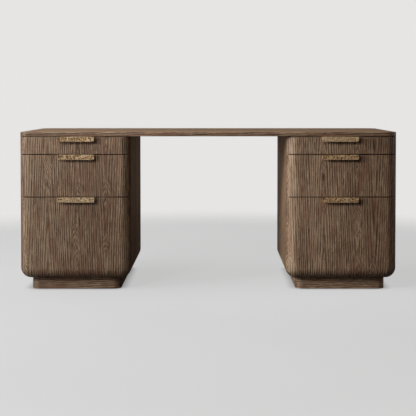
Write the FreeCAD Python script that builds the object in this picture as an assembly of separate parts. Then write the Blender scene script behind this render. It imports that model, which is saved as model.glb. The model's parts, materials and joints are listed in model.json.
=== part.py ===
import FreeCAD, Part
import os

# Pedestal desk: a thin top on two pedestals of three drawers each.
# Sizes are in millimetres. +Z is up and the drawers face -Y. The origin is on the floor
# under the middle of the desk, with the pulls counted in its depth.

# Whole desk
desk_width = 1829.0
desk_depth = 762.0
desk_height = 768.0
corner_radius = 51.0

# Desktop
top_thickness = 20.0
top_edge_easing = 2.0

# Pedestal cases
pedestal_width = 538.0
side_thickness = 25.0
back_thickness = 20.0
case_bottom_thickness = 30.0
case_top_thickness = 16.0

# Plinths and the glides under them
plinth_height = 57.0
plinth_recess = 51.0
plinth_board = 22.0
plinth_corner_radius = 38.0
glide_height = 1.0
glide_margin = 1.0
glide_inset = 60.0

# Screws that hold the desktop down on the cases
screw_shank = 4.5
screw_head = 9.0
screw_head_height = 3.0
screw_cover = 8.0
screw_inset = 60.0
screw_play = 0.1

# Drawer fronts
front_thickness = 19.0
front_to_case_gap = 1.0
top_reveal = 3.0
reveal = 4.5
top_front_height = 82.5
middle_front_height = 202.0

# Drawer boxes: room left above, below and behind them
box_wall = 14.0
box_bottom_thickness = 10.0
box_rear_room = 83.0
top_box_headroom = 11.0
top_box_footroom = 6.0
middle_box_headroom = 32.0
middle_box_footroom = 12.0
bottom_box_headroom = 69.0
bottom_box_footroom = 10.0

# Telescopic runners: three nested steel channels in the space beside each drawer box
runner_space = 12.7
runner_height = 45.0
runner_steel = 1.5
runner_play = 0.3
runner_lift = 2.5
runner_setback = 20.0
fixed_flange = 8.0
middle_flange = 9.0

# Brass edge pulls
pull_length = 178.0
pull_drop = 24.5
pull_projection = 18.0
pull_face = 4.0
pull_seat = 15.0
pull_to_reveal_gap = 3.0
pull_towards_kneehole = 8.0
pull_corner_radius = 9.0
pull_bend_radius = 1.5

# Hanging-file rails of the deep drawers
file_rail_thickness = 3.0
file_rail_height = 18.0
file_rail_inset = 24.0
file_rail_seat = 10.0
file_rail_standing = 6.0
file_rail_play = 0.1

# Places that follow from the sizes above
front_y = pull_projection / 2 - desk_depth / 2
rear_y = front_y + desk_depth
front_back_y = front_y + front_thickness
case_front_y = front_back_y + front_to_case_gap
case_rear_y = rear_y - back_thickness
top_under_z = desk_height - top_thickness
case_top_under_z = top_under_z - case_top_thickness
case_floor_z = plinth_height + case_bottom_thickness
box_rear_y = case_rear_y - box_rear_room
runner_front_y = front_back_y + runner_setback
runner_length = box_rear_y - runner_setback - runner_front_y
pull_leg = reveal - pull_to_reveal_gap
touch = 0.001

# Fronts, from the desktop down
top_front = (top_under_z - top_reveal - top_front_height, top_under_z - top_reveal)
middle_front = (top_front[0] - reveal - middle_front_height, top_front[0] - reveal)
bottom_front = (plinth_height, middle_front[0] - reveal)

# Each drawer: its front's and its box's lower and upper edges
drawers = {
    "top": (top_front, (top_front[0] + top_box_footroom, case_top_under_z - top_box_headroom)),
    "middle": (
        middle_front,
        (middle_front[0] + middle_box_footroom, middle_front[1] - middle_box_headroom),
    ),
    "bottom": (
        bottom_front,
        (case_floor_z + bottom_box_footroom, bottom_front[1] - bottom_box_headroom),
    ),
}

# The lower X of each pedestal, and which of its sides faces out
pedestals = {
    "left": (-desk_width / 2, ("outer", "inner")),
    "right": (desk_width / 2 - pedestal_width, ("inner", "outer")),
}


def save(name, *solids):
    """Writes one node, made of one solid or of several separate ones."""
    shape = solids[0] if len(solids) == 1 else Part.makeCompound(list(solids))
    shape.exportStep(os.path.join("parts", name + ".step"))


def block(x, y, z):
    """A box between two X, two Y and two Z places."""
    size = (x[1] - x[0], y[1] - y[0], z[1] - z[0])
    return Part.makeBox(*size, FreeCAD.Vector(x[0], y[0], z[0]))


def upright_edges(shape):
    return [e for e in shape.Edges if e.BoundBox.ZLength > touch]


def edges_at_height(shape, z):
    return [e for e in shape.Edges if abs(e.BoundBox.ZMin - z) + abs(e.BoundBox.ZMax - z) < touch]


def extruded_along_y(points, y_start, length):
    """A solid with a constant section: X, Z points, extruded along Y."""
    corners = [FreeCAD.Vector(x, y_start, z) for x, z in points]
    outline = Part.makePolygon(corners + corners[:1])
    return Part.Face(outline).extrude(FreeCAD.Vector(0, length, 0))


def extruded_along_x(points, x_start, length):
    """A solid with a constant section: Y, Z points, extruded along X."""
    corners = [FreeCAD.Vector(x_start, y, z) for y, z in points]
    outline = Part.makePolygon(corners + corners[:1])
    return Part.Face(outline).extrude(FreeCAD.Vector(length, 0, 0))


def screw_places():
    """X, Y of the desktop screws, four over each pedestal."""
    places = []
    for x_low, _ in pedestals.values():
        inset = side_thickness + screw_inset
        for x in (x_low + inset, x_low + pedestal_width - inset):
            for y in (case_front_y + screw_inset, case_rear_y - screw_inset):
                places.append((x, y))
    return places


def upright_cylinder(diameter, place, z):
    base = FreeCAD.Vector(place[0], place[1], z[0])
    return Part.makeCylinder(diameter / 2, z[1] - z[0], base)


def desktop():
    """One slab with rounded plan corners, eased edges and pilot holes from below."""
    slab = block(
        (-desk_width / 2, desk_width / 2), (front_y, rear_y), (top_under_z, desk_height)
    )
    slab = slab.makeFillet(corner_radius, upright_edges(slab))
    rims = edges_at_height(slab, desk_height) + edges_at_height(slab, top_under_z)
    slab = slab.makeFillet(top_edge_easing, rims)
    for place in screw_places():
        hole = (top_under_z, desk_height - screw_cover + screw_play)
        slab = slab.cut(upright_cylinder(screw_shank + 2 * screw_play, place, hole))
    return slab.Solids[0]


def desktop_screws():
    """Pan-head screws, up through the case tops into the desktop."""
    screws = []
    for place in screw_places():
        head_z = (case_top_under_z - screw_head_height, case_top_under_z)
        head = upright_cylinder(screw_head, place, head_z)
        shank = upright_cylinder(screw_shank, place, (head_z[1], desk_height - screw_cover))
        screws.append(head.fuse(shank).removeSplitter().Solids[0])
    return screws


def pedestal_envelope(x):
    """The outside of a pedestal: every upright corner and every lower edge is rounded."""
    outside = block(x, (front_y, rear_y), (plinth_height, top_under_z))
    rounded = upright_edges(outside) + edges_at_height(outside, plinth_height)
    return outside.makeFillet(corner_radius, rounded)


def board(envelope, x, y, z):
    """A board whose outer faces follow the pedestal's rounded outside."""
    return envelope.common(block(x, y, z)).Solids[0]


def case_top(x_inside):
    """The panel under the desktop, between the case sides, drilled for the screws."""
    panel = block(x_inside, (case_front_y, case_rear_y), (case_top_under_z, top_under_z))
    for place in screw_places():
        if x_inside[0] < place[0] < x_inside[1]:
            hole = (case_top_under_z, top_under_z)
            panel = panel.cut(upright_cylinder(screw_shank + 2 * screw_play, place, hole))
    return panel.Solids[0]


def plinth(x):
    """Front and back boards with two side boards between them, rounded at the corners as one ring."""
    low, high = x[0] + plinth_recess, x[1] - plinth_recess
    front, rear = front_y + plinth_recess, rear_y - plinth_recess
    z = (glide_height, plinth_height)
    outside = block((low, high), (front, rear), z)
    outside = outside.makeFillet(plinth_corner_radius, upright_edges(outside))
    between = (front + plinth_board, rear - plinth_board)
    return [
        outside.common(block((low, high), (front, between[0]), z)).Solids[0],
        outside.common(block((low, high), (between[1], rear), z)).Solids[0],
        outside.common(block((low, low + plinth_board), between, z)).Solids[0],
        outside.common(block((high - plinth_board, high), between, z)).Solids[0],
    ]


def glides(x):
    """Nylon discs under the front and back boards of a plinth."""
    rows = (
        front_y + plinth_recess + plinth_board / 2,
        rear_y - plinth_recess - plinth_board / 2,
    )
    columns = (
        x[0] + plinth_recess + glide_inset,
        x[1] - plinth_recess - glide_inset,
    )
    diameter = plinth_board - 2 * glide_margin
    return [upright_cylinder(diameter, (cx, y), (0, glide_height)) for cx in columns for y in rows]


def channel(web_x, tip_x, height, z_middle):
    """A steel channel: a web at web_x and two flanges that reach to tip_x."""
    inward = runner_steel if tip_x > web_x else -runner_steel
    top, low = z_middle + height / 2, z_middle - height / 2
    section = [
        (web_x, low),
        (tip_x, low),
        (tip_x, low + runner_steel),
        (web_x + inward, low + runner_steel),
        (web_x + inward, top - runner_steel),
        (tip_x, top - runner_steel),
        (tip_x, top),
        (web_x, top),
    ]
    return extruded_along_y(section, runner_front_y, runner_length)


def runner_members(wall_x, towards_box, z_middle):
    """Fixed, middle and drawer member of one runner, from the case wall to the box."""
    step = runner_steel + runner_play
    inner_height = runner_height - 2 * step
    drawer_height = inner_height - 2 * step
    middle_web = wall_x + towards_box * step
    box_x = wall_x + towards_box * runner_space
    drawer_tip = middle_web + towards_box * step
    return (
        channel(wall_x, wall_x + towards_box * fixed_flange, runner_height, z_middle),
        channel(middle_web, middle_web + towards_box * middle_flange, inner_height, z_middle),
        channel(box_x, drawer_tip, drawer_height, z_middle),
    )


def pull(x_middle, front_top):
    """An angle of cast brass: a leg on the front's top edge and a face hung before it."""
    top = front_top + pull_leg
    face_y = front_y - pull_projection
    section = [
        (front_y + pull_seat, front_top),
        (front_y + pull_seat, top),
        (face_y, top),
        (face_y, top - pull_drop),
        (face_y + pull_face, top - pull_drop),
        (face_y + pull_face, front_top),
    ]
    angle = extruded_along_x(section, x_middle - pull_length / 2, pull_length)
    lower_corners = [
        e
        for e in angle.Edges
        if abs(e.BoundBox.YLength - pull_face) < touch and e.BoundBox.ZMax < top - pull_drop + touch
    ]
    angle = angle.makeFillet(pull_corner_radius, lower_corners)
    bend = [
        e
        for e in angle.Edges
        if e.BoundBox.XLength > touch and e.BoundBox.YMax < face_y + touch and e.BoundBox.ZMin > top - touch
    ]
    return angle.makeFillet(pull_bend_radius, bend)


def file_rail_places(x):
    """X spans of the two hanging-file rails, inside the box walls."""
    inset = box_wall + file_rail_inset
    left = (x[0] + inset, x[0] + inset + file_rail_thickness)
    right = (x[1] - inset - file_rail_thickness, x[1] - inset)
    return left, right


def box_ends(x, z, with_rails):
    """Inner front and back of a drawer box, notched where file rails sit in them."""
    inside = (x[0] + box_wall, x[1] - box_wall)
    ends = []
    for y in (
        (front_back_y, front_back_y + box_wall),
        (box_rear_y - box_wall, box_rear_y),
    ):
        end = block(inside, y, z)
        if with_rails:
            notch_z = (z[1] + file_rail_standing - file_rail_height, z[1])
            notch_y = (
                front_back_y + box_wall - file_rail_seat,
                box_rear_y - box_wall + file_rail_seat,
            )
            for rail_x in file_rail_places(x):
                wide = (rail_x[0] - file_rail_play, rail_x[1] + file_rail_play)
                deep = (notch_y[0] - file_rail_play, notch_y[1] + file_rail_play)
                end = end.cut(block(wide, deep, notch_z))
        ends.append(end.Solids[0])
    return ends


def file_rails(x, z):
    """Two steel bars on edge, from the inner front to the back of a deep drawer."""
    y = (
        front_back_y + box_wall - file_rail_seat,
        box_rear_y - box_wall + file_rail_seat,
    )
    top = z[1] + file_rail_standing
    return [block(rail_x, y, (top - file_rail_height, top)) for rail_x in file_rail_places(x)]


def box_sides(x, z):
    y = (front_back_y, box_rear_y)
    return [block((x[0], x[0] + box_wall), y, z), block((x[1] - box_wall, x[1]), y, z)]


def box_bottom(x, z):
    inside_x = (x[0] + box_wall, x[1] - box_wall)
    inside_y = (front_back_y + box_wall, box_rear_y - box_wall)
    return block(inside_x, inside_y, (z[0], z[0] + box_bottom_thickness))


def save_case(name, x, envelope, sides):
    """The fixed boards of one pedestal."""
    y = (case_front_y, case_rear_y)
    z = (plinth_height, top_under_z)
    x_inside = (x[0] + side_thickness, x[1] - side_thickness)
    save(f"{name}_{sides[0]}_side", board(envelope, (x[0], x_inside[0]), y, z))
    save(f"{name}_{sides[1]}_side", board(envelope, (x_inside[1], x[1]), y, z))
    save(f"{name}_back_panel", board(envelope, x, (case_rear_y, rear_y), z))
    save(f"{name}_case_bottom", board(envelope, x_inside, y, (plinth_height, case_floor_z)))
    save(f"{name}_case_top", case_top(x_inside))
    save(f"{name}_plinth", *plinth(x))


def save_drawer(name, x, envelope, drawer):
    """The pieces of one drawer. Returns the fixed members of its two runners."""
    front_z, box_z = drawers[drawer]
    node = f"{name}_{drawer}_drawer"
    walls = (x[0] + side_thickness, x[1] - side_thickness)
    box_x = (walls[0] + runner_space, walls[1] - runner_space)
    deep = drawer == "bottom"
    save(f"{node}_front", board(envelope, x, (front_y, front_back_y), front_z))
    middle = (x[0] + x[1]) / 2
    pull_shift = pull_towards_kneehole if middle < 0 else -pull_towards_kneehole
    save(f"{node}_pull", pull(middle + pull_shift, front_z[1]))
    save(f"{node}_box_sides", *box_sides(box_x, box_z))
    save(f"{node}_box_ends", *box_ends(box_x, box_z, deep))
    save(f"{node}_box_bottom", box_bottom(box_x, box_z))
    if deep:
        save(f"{node}_file_rails", *file_rails(box_x, box_z))
    z_middle = box_z[0] + runner_lift + runner_height / 2
    left = runner_members(walls[0], 1, z_middle)
    right = runner_members(walls[1], -1, z_middle)
    save(f"{node}_middle_runners", left[1], right[1])
    save(f"{node}_box_runners", left[2], right[2])
    return [left[0], right[0]]


os.makedirs("parts", exist_ok=True)
save("desktop", desktop())
save("desktop_screws", *desktop_screws())
all_glides = []
fixed_runners = []
for pedestal, (x_low, side_names) in pedestals.items():
    span = (x_low, x_low + pedestal_width)
    outline = pedestal_envelope(span)
    save_case(pedestal, span, outline, side_names)
    all_glides += glides(span)
    for drawer_name in drawers:
        fixed_runners += save_drawer(pedestal, span, outline, drawer_name)
save("floor_glides", *all_glides)
save("fixed_runners", *fixed_runners)
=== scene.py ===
import json
import math

import bmesh
import bpy
from mathutils import Matrix, Vector, noise

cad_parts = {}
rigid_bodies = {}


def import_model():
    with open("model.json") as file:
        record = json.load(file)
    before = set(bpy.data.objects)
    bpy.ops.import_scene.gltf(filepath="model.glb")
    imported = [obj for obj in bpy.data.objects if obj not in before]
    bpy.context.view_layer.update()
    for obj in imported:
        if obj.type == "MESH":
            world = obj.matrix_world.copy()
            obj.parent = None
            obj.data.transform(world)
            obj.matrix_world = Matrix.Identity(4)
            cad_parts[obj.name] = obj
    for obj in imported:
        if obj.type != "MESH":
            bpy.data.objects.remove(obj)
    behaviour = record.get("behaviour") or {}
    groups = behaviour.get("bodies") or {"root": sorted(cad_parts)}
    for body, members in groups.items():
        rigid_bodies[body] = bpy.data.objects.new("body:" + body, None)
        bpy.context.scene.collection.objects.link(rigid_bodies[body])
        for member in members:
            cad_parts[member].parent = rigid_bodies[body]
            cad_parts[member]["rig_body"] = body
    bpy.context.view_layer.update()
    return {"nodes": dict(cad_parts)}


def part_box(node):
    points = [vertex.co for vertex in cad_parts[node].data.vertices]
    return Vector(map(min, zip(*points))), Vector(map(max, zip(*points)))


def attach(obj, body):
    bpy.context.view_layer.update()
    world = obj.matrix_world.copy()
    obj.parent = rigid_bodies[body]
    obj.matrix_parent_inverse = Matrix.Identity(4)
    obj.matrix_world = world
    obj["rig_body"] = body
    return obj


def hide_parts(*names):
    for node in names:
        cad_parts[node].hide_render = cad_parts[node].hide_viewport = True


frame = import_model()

# Floor glides. Eight small nylon discs, pressed into the undersides of the plinth boards.
# They keep the wood off the floor. Moulded, with a softened rim.
GLIDE_RIM = 0.0004
GLIDE_GREY = "#2b2926"
GLIDE_GREY_WORN = "#3d3a36"
GLIDE_ROUGH = (0.45, 0.65)
SCUFF_WIDE = 0.006
SPARK_WIDE = 0.0006
SPARK_DEEP = 0.00005
# Most of a noise pattern's values lie in this span.
NOISE_SPAN = (0.3, 0.7)
# Points this near count as one point, faces this nearly level as one face, and edges that turn
# by more than this as sharp.
SAME_POINT = 2e-6
SAME_FACE = math.radians(0.2)
SHARP_TURN = math.radians(35)


def linear(colour):
    """An sRGB hex colour as linear RGBA."""
    channels = [int(colour[i : i + 2], 16) / 255 for i in (1, 3, 5)]
    return [c / 12.92 if c <= 0.04045 else ((c + 0.055) / 1.055) ** 2.4 for c in channels] + [1.0]


def add(tree, kind, inputs=(), stops=(), **settings):
    """Adds a shader node. Inputs go by place or by name: a value, or the node or socket that feeds it."""
    node = tree.nodes.new("ShaderNode" + kind)
    for name, value in settings.items():
        setattr(node, name, value)
    for place, (position, colour) in enumerate(stops):
        ramp = node.color_ramp.elements
        stop = ramp[place] if place < len(ramp) else ramp.new(position)
        stop.position, stop.color = position, linear(colour)
    shown = [socket for socket in node.inputs if socket.enabled]
    for key, value in inputs.items() if isinstance(inputs, dict) else enumerate(inputs):
        socket = shown[key] if isinstance(key, int) else node.inputs[key]
        if isinstance(value, bpy.types.Node):
            value = next(o for o in value.outputs if o.enabled)
        if isinstance(value, bpy.types.NodeSocket):
            tree.links.new(value, socket)
        else:
            socket.default_value = value
    return node


def finish_named(name, **sockets):
    """A new material, its node tree, its shader and the piece's own coordinates in metres."""
    material = bpy.data.materials.new(name)
    material.use_nodes = True
    tree = material.node_tree
    shader = tree.nodes["Principled BSDF"]
    for socket, value in sockets.items():
        shader.inputs[socket.replace("_", " ")].default_value = value
    place = add(tree, "TexCoord").outputs["Object"]
    return material, tree, shader, place


def coat(tree, shader, colour, rough, relief):
    """Gives a finish its colour, its roughness and its relief."""
    for node, socket in ((colour, "Base Color"), (rough, "Roughness"), (relief, "Normal")):
        tree.links.new(next(o for o in node.outputs if o.enabled), shader.inputs[socket])


def fitted(name, form, material, body):
    """A piece of one material, made from its form and fixed to the body that carries it."""
    mesh = bpy.data.meshes.new(name)
    form.to_mesh(mesh)
    form.free()
    mesh.materials.append(material)
    piece = bpy.data.objects.new(name, mesh)
    bpy.context.scene.collection.objects.link(piece)
    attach(piece, body)
    return piece


def eased(node, easing, material):
    """Stands for a CAD node with its sharp edges eased, as sanding or moulding leaves them."""
    form = bmesh.new()
    form.from_mesh(frame["nodes"][node].data)
    bmesh.ops.remove_doubles(form, verts=form.verts, dist=SAME_POINT)
    bmesh.ops.dissolve_limit(form, angle_limit=SAME_FACE, verts=form.verts, edges=form.edges)
    sharp = [e for e in form.edges if e.is_manifold and e.calc_face_angle() > SHARP_TURN]
    bmesh.ops.bevel(
        form, geom=sharp, offset=easing, segments=2, profile=0.5, affect="EDGES", clamp_overlap=True
    )
    piece = fitted(node + ".eased", form, material, frame["nodes"][node]["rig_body"])
    piece.data.shade_smooth()
    piece.modifiers.new("flat_faces_stay_flat", "WEIGHTED_NORMAL").weight = 100
    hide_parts(node)


# Moulded nylon: dark and dull, with a fine spark-eroded grain from its mould and scuffed paler spots.
nylon, tree, shader, place = finish_named("moulded_nylon", IOR=1.53)
scuff = add(tree, "TexNoise", {"Vector": place, "Scale": 1 / SCUFF_WIDE, "Detail": 2.0})
colour = add(tree, "ValToRGB", [scuff], [(0.4, GLIDE_GREY), (0.7, GLIDE_GREY_WORN)])
rough = add(tree, "MapRange", [scuff, *NOISE_SPAN, *GLIDE_ROUGH])
spark = add(tree, "TexNoise", {"Vector": place, "Scale": 1 / SPARK_WIDE, "Detail": 1.0})
relief = add(tree, "Bump", {"Height": spark, "Distance": SPARK_DEEP})
coat(tree, shader, colour, rough, relief)
eased("floor_glides", GLIDE_RIM, nylon)

# Plinths. Four veneered boards each, set well back under the pedestal and glued up as a ring.
# Brown oak, with the grain running along each board.
SIDES = ("left", "right")
BOARD_EASING = 0.0010
OAK_STOPS = [(0.0, "#26180d"), (0.3, "#4b341f"), (0.56, "#684f3a"), (0.8, "#866d55"), (1.0, "#a68f75")]
OAK_RED = "#724832"
OAK_WORN = "#a58d78"
OAK_ROUGH = (0.68, 0.50)
# Layers of the figure: how wide and how long one patch is, and how much finer detail it holds.
OAK_LAYERS = {
    "sway": (0.090, 0.55, 1.0),
    "ripple": (0.016, 0.090, 1.0),
    "spread": (0.090, 1.20, 1.0),
    "fade": (0.010, 0.060, 1.0),
    "streak": (0.0058, 0.085, 1.0),
    "fibre": (0.0030, 0.034, 2.0),
    "pore": (0.0016, 0.016, 0.0),
    "tone": (0.080, 0.30, 1.0),
    "warmth": (0.030, 0.16, 1.0),
    "arch": (0.110, 0.19, 0.0),
}
# The fibres wander by some millimetres.
FIBRE_SWAY = 0.012
FIBRE_RIPPLE = 0.0016
# Leaves of veneer: their width, how far their tones differ, and where across a leaf its heart may lie.
LEAF_WIDE = 0.134
LEAF_DIFFERS = 0.10
HEART_FROM = 0.15
HEART_SPAN = 0.7
HEART_DEPTH = 0.010
# Rings: real ones lie 1 to 4 mm apart, too fine to see from where the desk is seen, and are drawn coarser.
RING_WIDE = 0.0104
RING_LEAN = 0.034
RING_START = 3.0
RING_DRIFT = 1.2
RINGS_IN_LEAF = 37.0
# Shares of one ring: where it is palest, where its sharp step down begins, and how faint it may be.
RING_PALEST = 0.5
RING_STEP = 0.68
RING_FAINTEST = 0.65
RING_FADE = (0.4, 1.1)
# Arches at the heart of a leaf: they come and go along it, and merge softly into the rings beside them.
ARCH_WIDE = 0.044
ARCH_SPAN = (0.46, 0.70)
ARCH_RISE = 0.34
ARCH_UNEVEN = 0.03
ARCH_SOFTER = 0.3
ARCH_MERGE = 0.004
ARCH_MERGE_MOST = 0.7
ARCH_MERGED = 0.42
# How much each thing darkens, warms or lowers the wood.
SHADE_MIDDLE = 0.475
SHADE_WEIGHTS = {"streak": 0.52, "fibre": 0.60, "tone": 0.25}
HOLLOW_DARK = 0.86
HOLLOW_DEEP = 0.7
PORE_SPAN = (0.56, 0.70)
PORE_DARK = 0.16
PORE_DEEP = 0.5
RED_SPAN = (0.45, 0.70)
RED_MOST = 0.38
WORN_WIDE = 0.0035
WORN_TURN = (0.98, 0.80)
WORN_MOST = 0.55
OAK_RELIEF = 0.0006
OAK_RELIEF_SHOWN = 0.6
PLINTH_CUT = 4.0
# How the plinth's tone runs up the board over this height: a painted shade, darker at its top under the
# pedestal and lighter at its foot.
PLINTH_SHADE_HEIGHT = 0.058
PLINTH_TONE_SHADED_TOP = 0.02
PLINTH_TONE_FOOT = 0.24
PLINTH_BOLD = 0.6


def brushed_oak(name, lie, sheen=0.5, bold=1.0):
    """Veneer of plain-sawn oak, stained brown, wire-brushed and matt lacquered.

    The brush leaves the hard late wood proud and the soft early wood hollow and dark, so the eye sees
    close upright lines, pointed arches at the heart of each leaf of veneer, and tone bands from leaf to leaf.
    Sheen is how much the lacquer shines, and bold is how strongly the lines stand out.
    """
    material, tree, shader, place = finish_named(name, IOR=1.5, Specular_IOR_Level=sheen)
    across, along, tone = lie(tree, place)
    figure = add(tree, "CombineXYZ", [across, along])
    grain = {}
    for layer, (wide, long, detail) in OAK_LAYERS.items():
        stretched = add(tree, "VectorMath", [figure, (1 / wide, 1 / long, 0)], operation="MULTIPLY")
        grain[layer] = add(
            tree, "TexNoise", {"Vector": stretched, "Scale": 1.0, "Detail": detail}, noise_dimensions="2D"
        )

    # Each leaf has its own heart, lean and tone.
    swayed = add(tree, "Math", [grain["sway"], FIBRE_SWAY, across], operation="MULTIPLY_ADD")
    swayed = add(tree, "Math", [grain["ripple"], FIBRE_RIPPLE, swayed], operation="MULTIPLY_ADD")
    leaf = add(tree, "Math", [across, LEAF_WIDE], operation="DIVIDE")
    leaf = add(tree, "Math", [leaf], operation="FLOOR")
    chance = add(tree, "TexWhiteNoise", [leaf], noise_dimensions="1D")
    chances = add(tree, "SeparateColor", [chance.outputs["Color"]]).outputs
    heart = add(tree, "Math", [chances[0], HEART_SPAN, leaf], operation="MULTIPLY_ADD")
    heart = add(tree, "Math", [heart, HEART_FROM], operation="ADD")
    off_heart = add(tree, "Math", [heart, -LEAF_WIDE, swayed], operation="MULTIPLY_ADD")
    bow = add(tree, "Math", [off_heart, off_heart, HEART_DEPTH**2], operation="MULTIPLY_ADD")
    bow = add(tree, "Math", [bow], operation="SQRT")
    way = add(tree, "Math", [chances[1], 0.5], operation="SUBTRACT")
    way = add(tree, "Math", [way], operation="SIGN")
    lean = add(tree, "Math", [way, RING_LEAN], operation="MULTIPLY")
    reach = add(tree, "Math", [along, lean, bow], operation="MULTIPLY_ADD")
    apart = add(tree, "Math", [off_heart], operation="ABSOLUTE")
    arched = add(tree, "Math", [along, ARCH_RISE, apart], operation="MULTIPLY_ADD")
    arched = add(tree, "Math", [grain["warmth"], ARCH_UNEVEN, arched], operation="MULTIPLY_ADD")
    arch_reach = add(tree, "MapRange", [grain["arch"], *ARCH_SPAN, 0.0, ARCH_WIDE / 2])
    at_heart = add(tree, "Math", [apart, arch_reach], operation="LESS_THAN")
    reach = add(tree, "Mix", [at_heart, reach, arched])
    reach = add(tree, "Math", [chances[2], RING_START, reach], operation="MULTIPLY_ADD")
    rings = add(tree, "Math", [reach, RING_WIDE], operation="DIVIDE")
    rings = add(tree, "Math", [grain["spread"], RING_DRIFT, rings], operation="MULTIPLY_ADD")

    # One ring: hollow early wood, then slowly paler to the late wood, then a sharp step down.
    step = add(tree, "Math", [rings], operation="FRACT")
    rise = add(tree, "MapRange", [step, 0.0, RING_PALEST, 0.0, 1.0], interpolation_type="SMOOTHSTEP")
    fall = add(tree, "MapRange", [step, RING_STEP, 1.0, 1.0, 0.0], interpolation_type="SMOOTHSTEP")
    ridge = add(tree, "Math", [rise, fall], operation="MULTIPLY")
    number = add(tree, "Math", [rings], operation="FLOOR")
    number = add(tree, "Math", [leaf, RINGS_IN_LEAF, number], operation="MULTIPLY_ADD")
    strength = add(tree, "TexWhiteNoise", [number], noise_dimensions="1D")
    strength = add(tree, "MapRange", [strength, 0.0, 1.0, RING_FAINTEST, 1.0])
    hollow = add(tree, "Math", [1.0, ridge], operation="SUBTRACT")
    hollow = add(tree, "Math", [hollow, strength], operation="MULTIPLY")
    fade = add(tree, "MapRange", [grain["fade"], *NOISE_SPAN, *RING_FADE])
    hollow = add(tree, "Math", [hollow, fade], operation="MULTIPLY")
    softer = add(tree, "Math", [at_heart, -ARCH_SOFTER, 1.0], operation="MULTIPLY_ADD")
    hollow = add(tree, "Math", [hollow, softer], operation="MULTIPLY")
    to_side = add(tree, "Math", [apart, arch_reach], operation="SUBTRACT")
    to_side = add(tree, "Math", [to_side], operation="ABSOLUTE")
    merge = add(tree, "MapRange", [to_side, 0.0, ARCH_MERGE, ARCH_MERGE_MOST, 0.0])
    has_arch = add(tree, "Math", [arch_reach, 0.0], operation="GREATER_THAN")
    merge = add(tree, "Math", [merge, has_arch], operation="MULTIPLY")
    hollow = add(tree, "Mix", [merge, hollow, ARCH_MERGED])
    pores = add(tree, "MapRange", [grain["pore"], *PORE_SPAN, 0.0, 1.0])

    # Shade from 0, the darkest hollow, to 1, the palest ridge.
    dark = HOLLOW_DARK * bold
    shade = add(tree, "Math", [hollow, -dark, SHADE_MIDDLE + dark / 2], operation="MULTIPLY_ADD")
    shade = add(tree, "Math", [shade, tone], operation="ADD")
    for layer, weight in SHADE_WEIGHTS.items():
        centred = add(tree, "Math", [grain[layer], 0.5], operation="SUBTRACT")
        shade = add(tree, "Math", [centred, weight, shade], operation="MULTIPLY_ADD")
    leaf_tone = add(tree, "Math", [chance.outputs["Value"], 0.5], operation="SUBTRACT")
    shade = add(tree, "Math", [leaf_tone, LEAF_DIFFERS, shade], operation="MULTIPLY_ADD")
    shade = add(tree, "Math", [pores, -PORE_DARK, shade], operation="MULTIPLY_ADD")
    colour = add(tree, "ValToRGB", [shade], OAK_STOPS)
    red = add(tree, "MapRange", [grain["warmth"], *RED_SPAN, 0.0, RED_MOST])
    colour = add(tree, "Mix", [red, colour, linear(OAK_RED)], data_type="RGBA")

    # Handling wears the stain thin along the edges.
    bevel = add(tree, "Bevel", {"Radius": WORN_WIDE}, samples=6)
    flat = add(tree, "NewGeometry").outputs["Normal"]
    turned = add(tree, "VectorMath", [bevel, flat], operation="DOT_PRODUCT").outputs["Value"]
    wear = add(tree, "MapRange", [turned, *WORN_TURN, 0.0, WORN_MOST])
    wear = add(tree, "Math", [wear, grain["streak"]], operation="MULTIPLY")
    colour = add(tree, "Mix", [wear, colour, linear(OAK_WORN)], data_type="RGBA")

    height = add(tree, "Math", [hollow, -HOLLOW_DEEP, grain["streak"]], operation="MULTIPLY_ADD")
    height = add(tree, "Math", [pores, -PORE_DEEP, height], operation="MULTIPLY_ADD")
    relief = add(
        tree, "Bump", {"Height": height, "Distance": OAK_RELIEF, "Strength": OAK_RELIEF_SHOWN * bold}
    )
    rough = add(tree, "MapRange", [shade, 0.0, 1.0, *OAK_ROUGH])
    coat(tree, shader, colour, rough, relief)
    return material


def round_the_plinth(tree, place):
    """Grain along the boards, whichever way they run, and across it up the board.

    The boards are painted darker towards their upper part, a painted shade where the pedestal overhangs them,
    and lighter at their foot.
    """
    x, y, z = add(tree, "SeparateXYZ", [place]).outputs
    along = add(tree, "Math", [x, y], operation="ADD")
    across = add(tree, "Math", [z, PLINTH_CUT], operation="ADD")
    # Painted shade: darker towards the top of the board, under the pedestal.
    tone = add(tree, "MapRange", [z, 0.0, PLINTH_SHADE_HEIGHT, PLINTH_TONE_FOOT, PLINTH_TONE_SHADED_TOP])
    return across, along, tone


plinth_oak = brushed_oak("wire_brushed_oak_plinth", round_the_plinth, bold=PLINTH_BOLD)
for side in SIDES:
    eased(f"{side}_plinth", BOARD_EASING, plinth_oak)

# Cases. Two sides, a back and a bottom board make each pedestal, with its corners and lower edges
# rounded over. Oak veneer, with upright grain that runs round the corners without a break.
PEDESTAL_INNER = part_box("right_inner_side")[0].x
PEDESTAL_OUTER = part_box("right_outer_side")[1].x
PEDESTAL_CORNER = 0.051
PEDESTAL_MIDDLE = (PEDESTAL_INNER + PEDESTAL_OUTER) / 2
PEDESTAL_FLAT = (PEDESTAL_OUTER - PEDESTAL_INNER) / 2 - PEDESTAL_CORNER
FRONT_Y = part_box("right_top_drawer_front")[0].y
SIDE_SHEEN = 0.2
# Where two leaves meet, over what width their tones blend, and how many leaves apart the boards were cut.
LEAF_JOINT = 0.020
LEAF_BLEND = (-0.09, 0.05)
LEAF_TONE = 0.075
LEAVES_TO_PEDESTAL = 58
LEAVES_TO_BACK = 30
# The left pedestal's fronts are painted lighter and the right's darker by this much, a painted falloff of the
# light from the left.
PEDESTAL_PAINTED_FALLOFF = 0.02
# The corners carry a painted highlight: how bright it is, where round them it is brightest, and where that
# begins and ends to fade.
CORNER_PAINTED_LIGHT = 0.08
CORNER_PAINTED_LIGHT_INNER = 0.05
CORNER_LIGHT_PEAK = 0.020
CORNER_STAYS = 0.020
CORNER_FADES = 0.046


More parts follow.
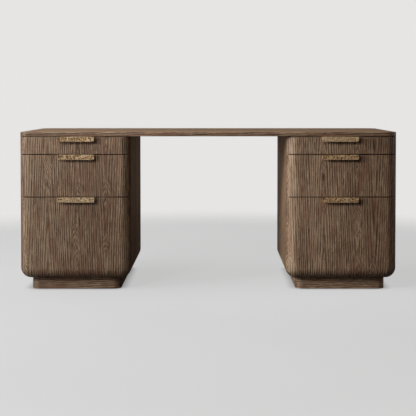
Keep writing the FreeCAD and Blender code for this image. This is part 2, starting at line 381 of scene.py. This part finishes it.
def upright(tree, place, board):
    """Grain up the pedestal; across it, the way round its outside from the middle of its front or back.

    Two leaves of veneer meet near the middle of each front, the left one a little paler.
    Round the front corners the wood is painted paler again, a painted highlight, most beside the kneehole.
    """
    x, y, z = add(tree, "SeparateXYZ", [place]).outputs
    pedestal = add(tree, "Math", [x], operation="SIGN")
    from_middle = add(tree, "Math", [pedestal, -PEDESTAL_MIDDLE, x], operation="MULTIPLY_ADD")
    hand = add(tree, "Math", [from_middle], operation="SIGN")
    wide = add(tree, "Math", [from_middle], operation="ABSOLUTE")
    if board == "side":
        deep = add(tree, "Math", [y, FRONT_Y], operation="SUBTRACT")
        turn = add(tree, "Math", [deep, PEDESTAL_CORNER], operation="DIVIDE", use_clamp=True)
        turn = add(tree, "Math", [1.0, turn], operation="SUBTRACT")
        turn = add(tree, "Math", [turn], operation="ARCCOSINE")
        flat = add(tree, "Math", [deep, PEDESTAL_CORNER], operation="SUBTRACT")
        flat = add(tree, "Math", [flat, 0.0], operation="MAXIMUM")
        flat = add(tree, "Math", [flat, PEDESTAL_FLAT], operation="ADD")
    else:
        turn = add(tree, "Math", [wide, PEDESTAL_FLAT], operation="SUBTRACT")
        turn = add(tree, "Math", [turn, PEDESTAL_CORNER], operation="DIVIDE", use_clamp=True)
        turn = add(tree, "Math", [turn], operation="ARCSINE")
        flat = add(tree, "Math", [wide, PEDESTAL_FLAT], operation="MINIMUM")
    round_way = add(tree, "Math", [turn, PEDESTAL_CORNER, flat], operation="MULTIPLY_ADD")
    corner = add(tree, "Math", [round_way, PEDESTAL_FLAT + CORNER_LIGHT_PEAK], operation="SUBTRACT")
    round_way = add(tree, "Math", [round_way, hand], operation="MULTIPLY")
    start = LEAF_JOINT + LEAVES_TO_BACK * LEAF_WIDE if board == "back" else LEAF_JOINT
    across = add(tree, "Math", [round_way, start], operation="ADD")
    across = add(tree, "Math", [pedestal, LEAVES_TO_PEDESTAL * LEAF_WIDE, across], operation="MULTIPLY_ADD")
    if board == "back":
        return across, z, 0.0
    # Painted highlight on the rounded front corners, stronger on the corners beside the kneehole.
    outer = add(tree, "Math", [pedestal, hand], operation="MULTIPLY")
    corner_light = add(tree, "Math", [outer, -CORNER_PAINTED_LIGHT_INNER, CORNER_PAINTED_LIGHT], operation="MULTIPLY_ADD")
    corner = add(tree, "Math", [corner], operation="ABSOLUTE")
    corner = add(
        tree, "MapRange", [corner, CORNER_STAYS, CORNER_FADES, 1.0, 0.0], interpolation_type="SMOOTHSTEP"
    )
    tone = add(tree, "Math", [corner, corner_light], operation="MULTIPLY")
    if board == "front":
        leaves = add(tree, "MapRange", [from_middle, *LEAF_BLEND, LEAF_TONE, -LEAF_TONE])
        # Painted falloff: the left pedestal's fronts a little lighter, the right's a little darker.
        leaves = add(tree, "Math", [pedestal, -PEDESTAL_PAINTED_FALLOFF, leaves], operation="MULTIPLY_ADD")
        tone = add(tree, "Math", [tone, leaves], operation="ADD")
    return across, z, tone


side_oak = brushed_oak(
    "wire_brushed_oak_sides", lambda tree, place: upright(tree, place, "side"), sheen=SIDE_SHEEN
)
back_oak = brushed_oak("wire_brushed_oak_back", lambda tree, place: upright(tree, place, "back"))
for side in SIDES:
    for board in ("outer_side", "inner_side"):
        eased(f"{side}_{board}", BOARD_EASING, side_oak)
    for board in ("back_panel", "case_bottom"):
        eased(f"{side}_{board}", BOARD_EASING, back_oak)

# Case tops. A plain birch panel closes each case under the desktop and takes the desktop's screws.
# Birch: pale, close and even, with faint flame figure and short brown flecks.
BIRCH_STOPS = [(0.2, "#a98a63"), (0.5, "#c9ad86"), (0.85, "#dcc6a4")]
BIRCH_FLECK = "#8f6d4a"
BIRCH_SHADES = (0.2, 0.9)
BIRCH_ROUGH = (0.55, 0.40)
BIRCH_EASING = 0.0008
BIRCH_LAYERS = {
    "flame": (0.030, 0.45, 1.0),
    "fibre": (0.0022, 0.070, 3.0),
    "fleck": (0.0016, 0.012, 0.0),
}
FLAME_BANDS = 7.0
FLAME_SHOWN = 0.22
FLECK_SPAN = (0.66, 0.74)
FLECK_MOST = 0.6
BIRCH_RELIEF = 0.00015
BIRCH_RELIEF_SHOWN = 0.5


def lacquered_birch(name, stretch):
    """Birch boards, sanded and satin lacquered. Stretch is the grain's long way as an X, Y, Z triple."""
    material, tree, shader, place = finish_named(name, IOR=1.5, Specular_IOR_Level=0.35)
    grain = {}
    for layer, (wide, long, detail) in BIRCH_LAYERS.items():
        scale = [1 / (long if way else wide) for way in stretch]
        stretched = add(tree, "VectorMath", [place, scale], operation="MULTIPLY")
        grain[layer] = add(tree, "TexNoise", {"Vector": stretched, "Scale": 1.0, "Detail": detail})
    bands = add(tree, "Math", [grain["flame"], FLAME_BANDS], operation="MULTIPLY")
    bands = add(tree, "Math", [bands, 1.0], operation="PINGPONG")
    shade = add(tree, "Math", [bands, FLAME_SHOWN, grain["fibre"]], operation="MULTIPLY_ADD")
    colour = add(tree, "ValToRGB", [shade], BIRCH_STOPS)
    flecks = add(tree, "MapRange", [grain["fleck"], *FLECK_SPAN, 0.0, FLECK_MOST])
    colour = add(tree, "Mix", [flecks, colour, linear(BIRCH_FLECK)], data_type="RGBA")
    relief = add(
        tree, "Bump", {"Height": grain["fibre"], "Distance": BIRCH_RELIEF, "Strength": BIRCH_RELIEF_SHOWN}
    )
    rough = add(tree, "MapRange", [shade, *BIRCH_SHADES, *BIRCH_ROUGH])
    coat(tree, shader, colour, rough, relief)
    return material


birch_crosswise = lacquered_birch("satin_birch_crosswise", (1, 0, 0))
for side in SIDES:
    eased(f"{side}_case_top", BIRCH_EASING, birch_crosswise)

# Runners. Three nested steel channels beside each drawer box: one on the case, one on the box and
# one between them. Roll-formed strip, zinc plated: blue-grey, cloudy and finely lined along its length.
ZINC_STOPS = [(0.3, "#9a9da1"), (0.5, "#b7babd"), (0.75, "#cfd1d2")]
ZINC_ROUGH = (0.46, 0.32)
CLOUD_WIDE = 0.018
DRAWN_WIDE = 0.0008
DRAWN_LONG = 0.060
DRAWN_DEEP = 0.00004
DRAWN_SHOWN = 0.35
zinc, tree, shader, place = finish_named("zinc_plated_steel", Metallic=1.0)
cloud = add(tree, "TexNoise", {"Vector": place, "Scale": 1 / CLOUD_WIDE, "Detail": 3.0})
drawn = add(
    tree, "VectorMath", [place, (1 / DRAWN_WIDE, 1 / DRAWN_LONG, 1 / DRAWN_WIDE)], operation="MULTIPLY"
)
lines = add(tree, "TexNoise", {"Vector": drawn, "Scale": 1.0, "Detail": 2.0})
mottle = add(tree, "Math", [lines, DRAWN_SHOWN, cloud], operation="MULTIPLY_ADD")
mottle = add(tree, "Math", [mottle, DRAWN_SHOWN / 2], operation="SUBTRACT")
colour = add(tree, "ValToRGB", [mottle], ZINC_STOPS)
rough = add(tree, "MapRange", [mottle, *NOISE_SPAN, *ZINC_ROUGH])
relief = add(tree, "Bump", {"Height": lines, "Distance": DRAWN_DEEP})
coat(tree, shader, colour, rough, relief)
steel = [n for n in frame["nodes"] if n.endswith(("runners", "file_rails", "desktop_screws"))]
for node in steel:
    frame["nodes"][node].data.materials.clear()
    frame["nodes"][node].data.materials.append(zinc)

# Drawer boxes. Birch boards dovetailed and glued at the corners, with a bottom let in between them.
# The deep drawers' boxes are notched for the steel rails that hanging files slide on.
DRAWERS = ("top", "middle", "bottom")
BOX_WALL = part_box("left_top_drawer_box_ends")[0].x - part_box("left_top_drawer_box_sides")[0].x
PIN_PITCH = 0.026
PIN_NARROW = 0.006
PIN_WIDE = 0.010
PIN_PROUD = 0.00008
PIN_SUNK = 0.0010
END_GRAIN_STOPS = [(0.3, "#7d5f3f"), (0.6, "#a3835a"), (0.8, "#b99a70")]
END_GRAIN_SPAN = (0.3, 0.8)
END_GRAIN_ROUGH = (0.75, 0.55)
END_PORE_WIDE = 0.0012
END_PORE_DEEP = 0.0001


def dovetail_pins(box):
    """The end grain of the pins, where it shows in the outer faces of a box's sides."""
    low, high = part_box(f"{box}_sides")
    count = round((high.z - low.z) / PIN_PITCH)
    pitch = (high.z - low.z) / count
    form = bmesh.new()
    for face, out in ((low.x, -1), (high.x, 1)):
        for edge, inward in ((low.y, 1), (high.y, -1)):
            near, far = edge + inward * BIRCH_EASING, edge + inward * BOX_WALL
            for pin in range(count):
                middle = low.z + (pin + 0.5) * pitch
                outline = [(near, -PIN_NARROW), (near, PIN_NARROW), (far, PIN_WIDE), (far, -PIN_WIDE)]
                rings = [
                    [form.verts.new((x, y, middle + wide / 2)) for y, wide in outline]
                    for x in (face + out * PIN_PROUD, face - out * PIN_SUNK)
                ]
                form.faces.new(rings[0])
                form.faces.new(rings[1])
                for i in range(len(outline)):
                    form.faces.new((rings[0][i - 1], rings[0][i], rings[1][i], rings[1][i - 1]))
    bmesh.ops.recalc_face_normals(form, faces=form.faces)
    fitted(f"{box}_dovetail_pins", form, end_grain, box.removesuffix("_box"))


# Birch end grain: darker than the face of the board, dotted with pores and drinking in the lacquer.
end_grain, tree, shader, place = finish_named("lacquered_birch_end_grain", IOR=1.5, Specular_IOR_Level=0.3)
dots = add(tree, "TexNoise", {"Vector": place, "Scale": 1 / END_PORE_WIDE, "Detail": 2.0})
colour = add(tree, "ValToRGB", [dots], END_GRAIN_STOPS)
rough = add(tree, "MapRange", [dots, *END_GRAIN_SPAN, *END_GRAIN_ROUGH])
relief = add(tree, "Bump", {"Height": dots, "Distance": END_PORE_DEEP})
coat(tree, shader, colour, rough, relief)

birch_lengthwise = lacquered_birch("satin_birch_lengthwise", (0, 1, 0))
for side in SIDES:
    for drawer in DRAWERS:
        box = f"{side}_{drawer}_drawer_box"
        eased(f"{box}_sides", BIRCH_EASING, birch_lengthwise)
        eased(f"{box}_ends", BIRCH_EASING, birch_crosswise)
        eased(f"{box}_bottom", BIRCH_EASING, birch_lengthwise)
        dovetail_pins(box)

# Drawer fronts. Three oak fronts close each pedestal, cut from one run of veneer so that the grain
# carries on from front to front. Each is held by pan-head screws from inside its box.
FRONT_SCREW_OUT = 0.110
FRONT_SCREW_ROWS = {"top": (0.60,), "middle": (0.27, 0.78), "bottom": (0.22, 0.80)}
PAN_HEAD = [(0.0, 0.0024), (0.0018, 0.0023), (0.0034, 0.0018), (0.0043, 0.0010), (0.0045, 0.0)]
HEAD_STEPS = 28
HEAD_SAME_POINT = 1e-6


def screw_head(name, outline, arms, arm_wide, arm_long, sink):
    """A turned head on the origin, up +Z. Outline is radius and height; the arms of its drive are sunk."""
    form = bmesh.new()
    start = [form.verts.new((radius, 0.0, height)) for radius, height in outline]
    line = [form.edges.new(pair) for pair in zip(start, start[1:])]
    bmesh.ops.spin(
        form, geom=start + line, cent=(0, 0, 0), axis=(0, 0, 1), angle=math.tau, steps=HEAD_STEPS
    )
    bmesh.ops.remove_doubles(form, verts=form.verts, dist=HEAD_SAME_POINT)
    for way in (Vector((1, 0, 0)), Vector((0, 1, 0))):
        for reach in (arm_wide / 2, arm_long / 2):
            for cut in (way * reach, way * -reach):
                everything = form.verts[:] + form.edges[:] + form.faces[:]
                bmesh.ops.bisect_plane(form, geom=everything, plane_co=cut, plane_no=way)
    in_arm = []
    for face in form.faces:
        x, y, _ = face.calc_center_median()
        lies_x = abs(y) < arm_wide / 2 and abs(x) < arm_long / 2
        lies_y = abs(x) < arm_wide / 2 and abs(y) < arm_long / 2
        if lies_x or (arms == 4 and lies_y):
            in_arm.append(face)
    sunk = bmesh.ops.extrude_face_region(form, geom=in_arm)["geom"]
    bmesh.ops.delete(form, geom=in_arm, context="FACES_ONLY")
    floor_points = [v for v in sunk if isinstance(v, bmesh.types.BMVert)]
    bmesh.ops.translate(form, vec=(0, 0, -sink), verts=floor_points)
    bmesh.ops.recalc_face_normals(form, faces=form.faces)
    mesh = bpy.data.meshes.new(name)
    form.to_mesh(mesh)
    form.free()
    return mesh


def screws(name, head, turn, places, body, material):
    """One piece with a screw head at each place, turned to stand on its seat."""
    form = bmesh.new()
    for spot in places:
        before = len(form.verts)
        form.from_mesh(head)
        form.verts.ensure_lookup_table()
        bmesh.ops.transform(form, matrix=Matrix.Translation(spot) @ turn, verts=form.verts[before:])
    fitted(name, form, material, body)


front_oak = brushed_oak("wire_brushed_oak_fronts", lambda tree, place: upright(tree, place, "front"))
pan_head = screw_head("pan_head", PAN_HEAD, arms=4, arm_wide=0.0011, arm_long=0.0050, sink=0.0011)
into_box = Matrix.Rotation(math.radians(-90), 4, "X")
for side in SIDES:
    for drawer in DRAWERS:
        body = f"{side}_{drawer}_drawer"
        eased(f"{body}_front", BOARD_EASING, front_oak)
        low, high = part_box(f"{body}_box_sides")
        middle = (low.x + high.x) / 2
        places = [
            Vector((middle + way * FRONT_SCREW_OUT, low.y + BOX_WALL, low.z + row * (high.z - low.z)))
            for way in (-1, 1)
            for row in FRONT_SCREW_ROWS[drawer]
        ]
        screws(f"{body}_front_screws", pan_head, into_box, places, body, zinc)

# Pulls. Cast brass angles: a thin leg lies on the top edge of the front, and a face hangs before it.
# Sand-cast, hammered and pitted, then rubbed back: the hollows keep their dark patina, and the leg is painted
# dark, a painted shade in the gap above the front.
PULL_LOW, PULL_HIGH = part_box("left_top_drawer_pull")
PULL_HALF = (PULL_HIGH.x - PULL_LOW.x) / 2
PULL_DROP = PULL_HIGH.z - PULL_LOW.z
PULL_FACE_Y = PULL_LOW.y
PULL_SEAT_Y = PULL_HIGH.y
PULL_FACE = 0.004
PULL_LEG = 0.0015
PULL_CORNER = 0.009
PULL_STEP = 0.00125
PULL_END_SOFT = 0.0010
PULL_END_SOFTER = 0.7
# The section goes up the face, back along the top, down the heel, forward under the leg, down behind the
# face and under its foot, in so many steps. Its corners are then softened so many times.
SECTION_STEPS = {"face": 22, "top": 26, "heel": 3, "under": 23, "back": 20, "foot": 4}
SECTION_SOFTENED = 2
LEG_STARTS = SECTION_STEPS["face"]
TOP_ENDS = LEG_STARTS + SECTION_STEPS["top"]
LEG_ENDS = TOP_ENDS + SECTION_STEPS["heel"] + SECTION_STEPS["under"]
BEND_STARTS = LEG_ENDS - 3
# The leg is level round its two screws.
PULL_SCREW_OUT = 0.060
PULL_SCREW_Y = PULL_SEAT_Y - 0.0065
PULL_SCREW_LEVEL = 0.0034
PULL_SCREW_BLEND = 0.0020
COUNTERSUNK = [(0.0, 0.0001), (0.0022, 0.0001), (0.0029, 0.0), (0.0031, -0.0003)]
# Hammer dents, casting pits and sand grain: how far apart they lie, how far one reaches as a share of
# that, and how deep it is. Each pull is cut from its own place in the pattern.
DENT_WIDE = 0.0080
DENT_REACH = 0.62
DENT_DEEP = 0.0008
PIT_WIDE = 0.012
PIT_REACH = 0.26
PIT_DEEP = 0.0010
PIT_CUT = 40
SAND_WIDE = 0.0025
SAND_DEEP = 0.00012
SAND_CUT = 80
PULL_CUT = 1.3
PULL_CUT_STEP = 3.7
# They sink at most this share of the metal, less on its back, and less near an edge, which is rubbed.
HAMMERED_SHARE = 0.40
BACK_SHARE = 0.35
EDGE_SHARE = 0.25
EDGE_RUBBED = 0.0030
# The depth at which a hollow is as dark as can be counts the dents in full and the pits in part.
PIT_COUNTS = 0.4
# The leg is painted darker, a painted shade in the gap it lies in, and so is the left end of the face, a
# painted shade standing for a darker reflection.
LEG_PAINTED_SHADE = 0.5
LEFT_END_PAINTED_SHADE = 0.2
LEFT_END_LONG = 0.030
# How much brighter each pull is painted, a painted light and shade that differs from pull to pull, and how
# far it has yellowed.
PULL_PAINTED_LIGHT_AND_TARNISH = {
    "left_top": (-0.07, 0.0),
    "left_middle": (-0.03, 0.0),
    "left_bottom": (0.10, 0.0),
    "right_top": (0.32, 0.3),
    "right_middle": (0.08, 0.4),
    "right_bottom": (0.06, 0.4),
}
BRASS_STOPS = [(0.0, "#22160d"), (0.3, "#624830"), (0.62, "#b29068"), (1.0, "#e8cfaa")]
BRASS_TARNISH = "#ffe6c6"
BRASS_BRIGHT = (0.98, 0.12)
BRASS_HOLLOW = 0.9
BRASS_ROUGH = (0.66, 0.42)
STAIN_WIDE = 0.009
STAIN_SHOWN = 0.6
GRIT_WIDE = 0.0011
GRIT_DEEP = 0.0002
GRIT_SHOWN = 0.3


def pull_section(low, top):
    """The closed outline of a pull, as Y, Z points, its corners softened as a casting's are."""
    under = top - PULL_LEG
    back = PULL_FACE_Y + PULL_FACE
    corners = [
        Vector((PULL_FACE_Y, low)),
        Vector((PULL_FACE_Y, top)),
        Vector((PULL_SEAT_Y, top)),
        Vector((PULL_SEAT_Y, under)),
        Vector((back, under)),
        Vector((back, low)),
    ]
    points = []
    for corner, after, count in zip(corners, corners[1:] + corners[:1], SECTION_STEPS.values()):
        points += [corner.lerp(after, i / count) for i in range(count)]
    for _ in range(SECTION_SOFTENED):
        before, after = points[-1:] + points[:-1], points[1:] + points[:1]
        points = [a * 0.25 + b * 0.5 + c * 0.25 for a, b, c in zip(before, points, after)]
    return points


def hollow_at(x, s, cut):
    """How deep the casting's surface lies at x along it and s round its section, in metres."""
    dent = noise.voronoi(Vector((x / DENT_WIDE, s / DENT_WIDE, cut)))[0][0]
    pit = noise.voronoi(Vector((x / PIT_WIDE, s / PIT_WIDE, cut + PIT_CUT)))[0][0]
    sand = noise.noise(Vector((x / SAND_WIDE, s / SAND_WIDE, cut + SAND_CUT)))
    deep = DENT_DEEP * max(0.0, 1 - (dent / DENT_REACH) ** 2)
    deep += PIT_DEEP * max(0.0, 1 - (pit / PIT_REACH) ** 2)
    return deep + SAND_DEEP * (sand + 1)


def pull_piece(node, cut, painted_light, tarnish):
    """A dense mesh of one pull, hammered inward from its plain outline. Some pulls are painted brighter and
    some darker, a painted light and shade, and the leg and the face's left end are painted darker, a painted
    shade.
    """
    low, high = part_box(node)
    middle, top = (low.x + high.x) / 2, high.z
    columns = round(2 * PULL_HALF / PULL_STEP)
    form = bmesh.new()
    depth = form.verts.layers.float.new("hollow")
    painted_light_layer = form.verts.layers.float.new("painted_light")
    yellowed = form.verts.layers.float.new("tarnish")
    rings = []
    for column in range(columns + 1):
        x = -PULL_HALF + 2 * PULL_HALF * column / columns
        from_end = PULL_HALF - abs(x)
        lift = 0.0
        if from_end < PULL_CORNER:
            lift = PULL_CORNER - math.sqrt(PULL_CORNER**2 - (PULL_CORNER - from_end) ** 2)
        drop = PULL_DROP - lift
        section = pull_section(top - drop, top)
        ring, s = [], 0.0
        for i, point in enumerate(section):
            after, before = section[(i + 1) % len(section)], section[i - 1]
            s += (point - before).length if i else 0.0
            way = (after - before).normalized()
            inward = Vector((way.y, -way.x))
            behind_face = max(0.0, point.x - PULL_FACE_Y - PULL_FACE)
            thick = max(PULL_LEG, PULL_FACE - behind_face) if i < BEND_STARTS else PULL_FACE
            share = 1.0 if i <= TOP_ENDS else BACK_SHARE
            deep = min(hollow_at(x, s, cut), HAMMERED_SHARE * thick) * share
            to_screw = math.hypot(abs(x) - PULL_SCREW_OUT, point.x - PULL_SCREW_Y)
            deep *= min(1.0, max(0.0, (to_screw - PULL_SCREW_LEVEL) / PULL_SCREW_BLEND))
            deep *= min(1.0, EDGE_SHARE + min(s, abs(s - drop), from_end) / EDGE_RUBBED)
            end_round = PULL_END_SOFTER * max(0.0, PULL_END_SOFT - from_end)
            moved = point + inward * (deep + end_round)
            vert = form.verts.new((middle + x, moved.x, moved.y))
            vert[depth] = min(1.0, deep / (DENT_DEEP + PIT_COUNTS * PIT_DEEP))
            # Painted shade on the leg and on the left end of the face.
            on_leg = LEG_STARTS <= i < LEG_ENDS and point.x > PULL_FACE_Y + PULL_FACE / 2
            near_left_end = max(0.0, 1 - (x + PULL_HALF) / LEFT_END_LONG)
            vert[painted_light_layer] = painted_light - LEG_PAINTED_SHADE * on_leg - LEFT_END_PAINTED_SHADE * near_left_end
            vert[yellowed] = tarnish
            ring.append(vert)
        rings.append(ring)
    for ring, beside in zip(rings, rings[1:]):
        for i in range(len(ring)):
            j = (i + 1) % len(ring)
            form.faces.new((ring[i], ring[j], beside[j], beside[i]))
    form.faces.new(rings[0][::-1])
    form.faces.new(rings[-1])
    bmesh.ops.recalc_face_normals(form, faces=form.faces)
    piece = fitted(node + ".cast", form, brass, frame["nodes"][node]["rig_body"])
    piece.data.shade_smooth()
    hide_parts(node)


# Cast brass: warm and bright on the rubbed ridges, brown to black where patina fills the hollows.
# A thin patina lies over the rest, so that it is not wholly metal to the eye.
brass, tree, shader, place = finish_named("patinated_cast_brass", Metallic=0.65)
hollow, painted_light, tarnish = (
    add(tree, "Attribute", attribute_name=name).outputs["Fac"] for name in ("hollow", "painted_light", "tarnish")
)
stain = add(tree, "TexNoise", {"Vector": place, "Scale": 1 / STAIN_WIDE, "Detail": 3.0})
grit = add(tree, "TexNoise", {"Vector": place, "Scale": 1 / GRIT_WIDE, "Detail": 2.0})
bright = add(tree, "MapRange", [hollow, 0.0, BRASS_HOLLOW, *BRASS_BRIGHT])
# Painted light and shade: each pull's own brightness, and darker paint on the leg and the face's left end.
bright = add(tree, "Math", [bright, painted_light], operation="ADD")
for blotch, weight in ((stain, STAIN_SHOWN), (grit, GRIT_SHOWN)):
    centred = add(tree, "Math", [blotch, 0.5], operation="SUBTRACT")
    bright = add(tree, "Math", [centred, weight, bright], operation="MULTIPLY_ADD")
colour = add(tree, "ValToRGB", [bright], BRASS_STOPS)
colour = add(tree, "Mix", [tarnish, colour, linear(BRASS_TARNISH)], data_type="RGBA", blend_type="MULTIPLY")
rough = add(tree, "MapRange", [bright, 0.0, 1.0, *BRASS_ROUGH])
relief = add(tree, "Bump", {"Height": grit, "Distance": GRIT_DEEP})
coat(tree, shader, colour, rough, relief)
countersunk = screw_head(
    "countersunk_head", COUNTERSUNK, arms=2, arm_wide=0.0007, arm_long=0.0062, sink=0.0005
)
# Each pull takes its painted light and its tarnish from the table.
for place_in_row, (drawer, wear) in enumerate(PULL_PAINTED_LIGHT_AND_TARNISH.items()):
    body = f"{drawer}_drawer"
    pull_piece(f"{body}_pull", PULL_CUT_STEP * place_in_row + PULL_CUT, *wear)
    low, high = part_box(f"{body}_pull")
    middle = (low.x + high.x) / 2
    places = [Vector((middle + way * PULL_SCREW_OUT, PULL_SCREW_Y, high.z)) for way in (-1, 1)]
    screws(f"{body}_pull_screws", countersunk, Matrix.Identity(4), places, body, brass)

# Desktop. One thin slab over both pedestals, with the same rounded corners and softly eased edges.
# Oak veneer with the grain along its length, screwed down from inside the cases.
# Its top is painted lighter and its edges darker, a painted sheen and shade, and its left end is painted
# lighter, a painted pool of the light from the left.
DESKTOP_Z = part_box("desktop")[1].z
# Where the painted sheen of the top gives way to the painted shade of the edges, and how strong each is; then
# where the painted light on the left end runs, and how strong it is.
TOP_SHEEN_FROM = 0.004
TOP_SHEEN_TO = 0.001
TOP_PAINTED_SHEEN = 0.04
EDGE_PAINTED_SHADE = -0.13
LEFT_END_X = (-0.2, -0.9)
LEFT_END_PAINTED_LIGHT = 0.07


def lengthwise(tree, place):
    """Grain along the desktop; across it, the way over the top and down the edges."""
    x, y, z = add(tree, "SeparateXYZ", [place]).outputs
    across = add(tree, "Math", [y, z], operation="SUBTRACT")
    # Painted sheen on the top and painted shade down the edges.
    tone = add(tree, "MapRange", [z, DESKTOP_Z - TOP_SHEEN_FROM, DESKTOP_Z - TOP_SHEEN_TO, EDGE_PAINTED_SHADE, TOP_PAINTED_SHEEN])
    # Painted light on the left end, from the light on the left.
    painted_left_light = add(tree, "MapRange", [x, *LEFT_END_X, 0.0, LEFT_END_PAINTED_LIGHT])
    tone = add(tree, "Math", [tone, painted_left_light], operation="ADD")
    return across, x, tone


desktop_oak = brushed_oak("wire_brushed_oak_lengthwise", lengthwise)
frame["nodes"]["desktop"].data.materials.clear()
frame["nodes"]["desktop"].data.materials.append(desktop_oak)

# Studio floor. A pale matt disc under the desk that fades out into the pale surround.
# It is lit evenly from within for the eye, so that the shadows on it stay faint but for the line of contact.
FLOOR_REACH = 3.6
FLOOR_FADE = 2.2
FLOOR_TROWEL = 0.9
FLOOR_STOPS = [(0.3, "#666667"), (0.7, "#6a6a6b")]
FLOOR_GIVEN = "#606061"
FLOOR_GLOW = 0.54
FLOOR_CONTACT = 0.045
disc = bmesh.new()
bmesh.ops.create_circle(disc, cap_ends=True, segments=96, radius=FLOOR_REACH)
mesh = bpy.data.meshes.new("studio_floor")
disc.to_mesh(mesh)
disc.free()
floor = bpy.data.objects.new("studio_floor", mesh)
bpy.context.scene.collection.objects.link(floor)
painted, tree, shader, place = finish_named("matt_floor_paint", Roughness=0.9, Specular_IOR_Level=0.0)
trowel = add(tree, "TexNoise", {"Vector": place, "Scale": 1 / FLOOR_TROWEL, "Detail": 2.0})
eye = add(tree, "LightPath").outputs["Is Camera Ray"]
seen = add(tree, "ValToRGB", [trowel], FLOOR_STOPS)
colour = add(tree, "Mix", [eye, linear(FLOOR_GIVEN), seen], data_type="RGBA")
tree.links.new(colour.outputs[2], shader.inputs["Base Color"])
open_way = add(tree, "AmbientOcclusion", {"Distance": FLOOR_CONTACT}, samples=8).outputs["AO"]
glow = add(tree, "Math", [eye, FLOOR_GLOW], operation="MULTIPLY")
glow = add(tree, "Math", [glow, open_way], operation="MULTIPLY")
shader.inputs["Emission Color"].default_value = (1.0, 1.0, 1.0, 1.0)
tree.links.new(glow.outputs[0], shader.inputs["Emission Strength"])
out_from_desk = add(tree, "VectorMath", [place], operation="LENGTH").outputs["Value"]
fade = add(
    tree, "MapRange", [out_from_desk, FLOOR_FADE, FLOOR_REACH, 0.0, 1.0], interpolation_type="SMOOTHSTEP"
)
clear = add(tree, "BsdfTransparent")
shown = add(tree, "MixShader", [fade, shader, clear])
tree.links.new(shown.outputs[0], tree.nodes["Material Output"].inputs["Surface"])
mesh.materials.append(painted)

# Surround. Pale to the eye.
# As a light it is warm, weak before the desk and stronger behind it.
SURROUND = "#e6e5e4"
SURROUND_WARM = "#ffdcbc"
SURROUND_BEFORE = 0.02
SURROUND_BEHIND = 0.28
SURROUND_FULL = 0.9
world = bpy.data.worlds.new("studio")
bpy.context.scene.world = world
world.use_nodes = True
tree = world.node_tree
tree.nodes.clear()
way = add(tree, "SeparateXYZ", [add(tree, "TexCoord").outputs["Generated"]]).outputs["Y"]
strength = add(
    tree,
    "MapRange",
    [way, 0.0, SURROUND_FULL, SURROUND_BEFORE, SURROUND_BEHIND],
    interpolation_type="SMOOTHSTEP",
)
seen = add(tree, "Background", [linear(SURROUND), 1.0])
weak = add(tree, "Background", [linear(SURROUND_WARM), strength])
eye = add(tree, "LightPath").outputs["Is Camera Ray"]
both = add(tree, "MixShader", [eye, weak, seen])
add(tree, "OutputWorld", [both])

# Light. A soft key from the left front, a wide window light from the left, one overhead, a narrow one
# on the corner of the right pedestal, and weak ones from the right and the rear for the desk's other sides.
# Each has its place, its aim, its width, its power in watts and its spread in degrees.
LIGHTS = {
    "key": ((-2.28, -4.15, 3.48), (0.0, -0.2, 0.4), 1.6, 108, 180),
    "window": ((-3.92, -2.11, 1.49), (0.0, -0.2, 0.4), 3.0, 95, 180),
    "overhead": ((-1.8, -0.3, 3.8), (-0.2, -0.2, 0.4), 2.5, 68, 180),
    "corner": ((-2.6, -1.8, 1.94), (0.42, -0.36, 0.42), 0.5, 1.7, 26),
    "right": ((4.1, 0.8, 1.2), (0.9, 0.0, 0.4), 1.6, 20, 180),
    "rear": ((-3.6, 3.4, 1.9), (0.0, 0.2, 0.4), 1.5, 34, 180),
}
for name, (spot, aim, across_light, watts, spread) in LIGHTS.items():
    lamp = bpy.data.lights.new(name, "AREA")
    lamp.shape, lamp.size, lamp.energy, lamp.spread = "DISK", across_light, watts, math.radians(spread)
    light = bpy.data.objects.new(name, lamp)
    light.location = spot
    light.rotation_euler = (Vector(aim) - Vector(spot)).to_track_quat("-Z", "Y").to_euler()
    light.visible_camera = False
    bpy.context.scene.collection.objects.link(light)

# Camera. At 0.92 m, straight at the drawers and a little down, with the frame shifted to hold the floor.
CAMERA_AT = (0.0296, -5.477, 0.9169)
CAMERA_DOWN = 1.946
lens = bpy.data.cameras.new("camera")
lens.sensor_width, lens.lens = 36.0, 91.617
lens.shift_x, lens.shift_y = -0.0152, -0.17
camera = bpy.data.objects.new("camera", lens)
camera.location = CAMERA_AT
camera.rotation_euler = (math.radians(90 - CAMERA_DOWN), 0, 0)
bpy.context.scene.collection.objects.link(camera)
bpy.context.scene.camera = camera
bpy.context.scene.view_settings.view_transform = "Standard"
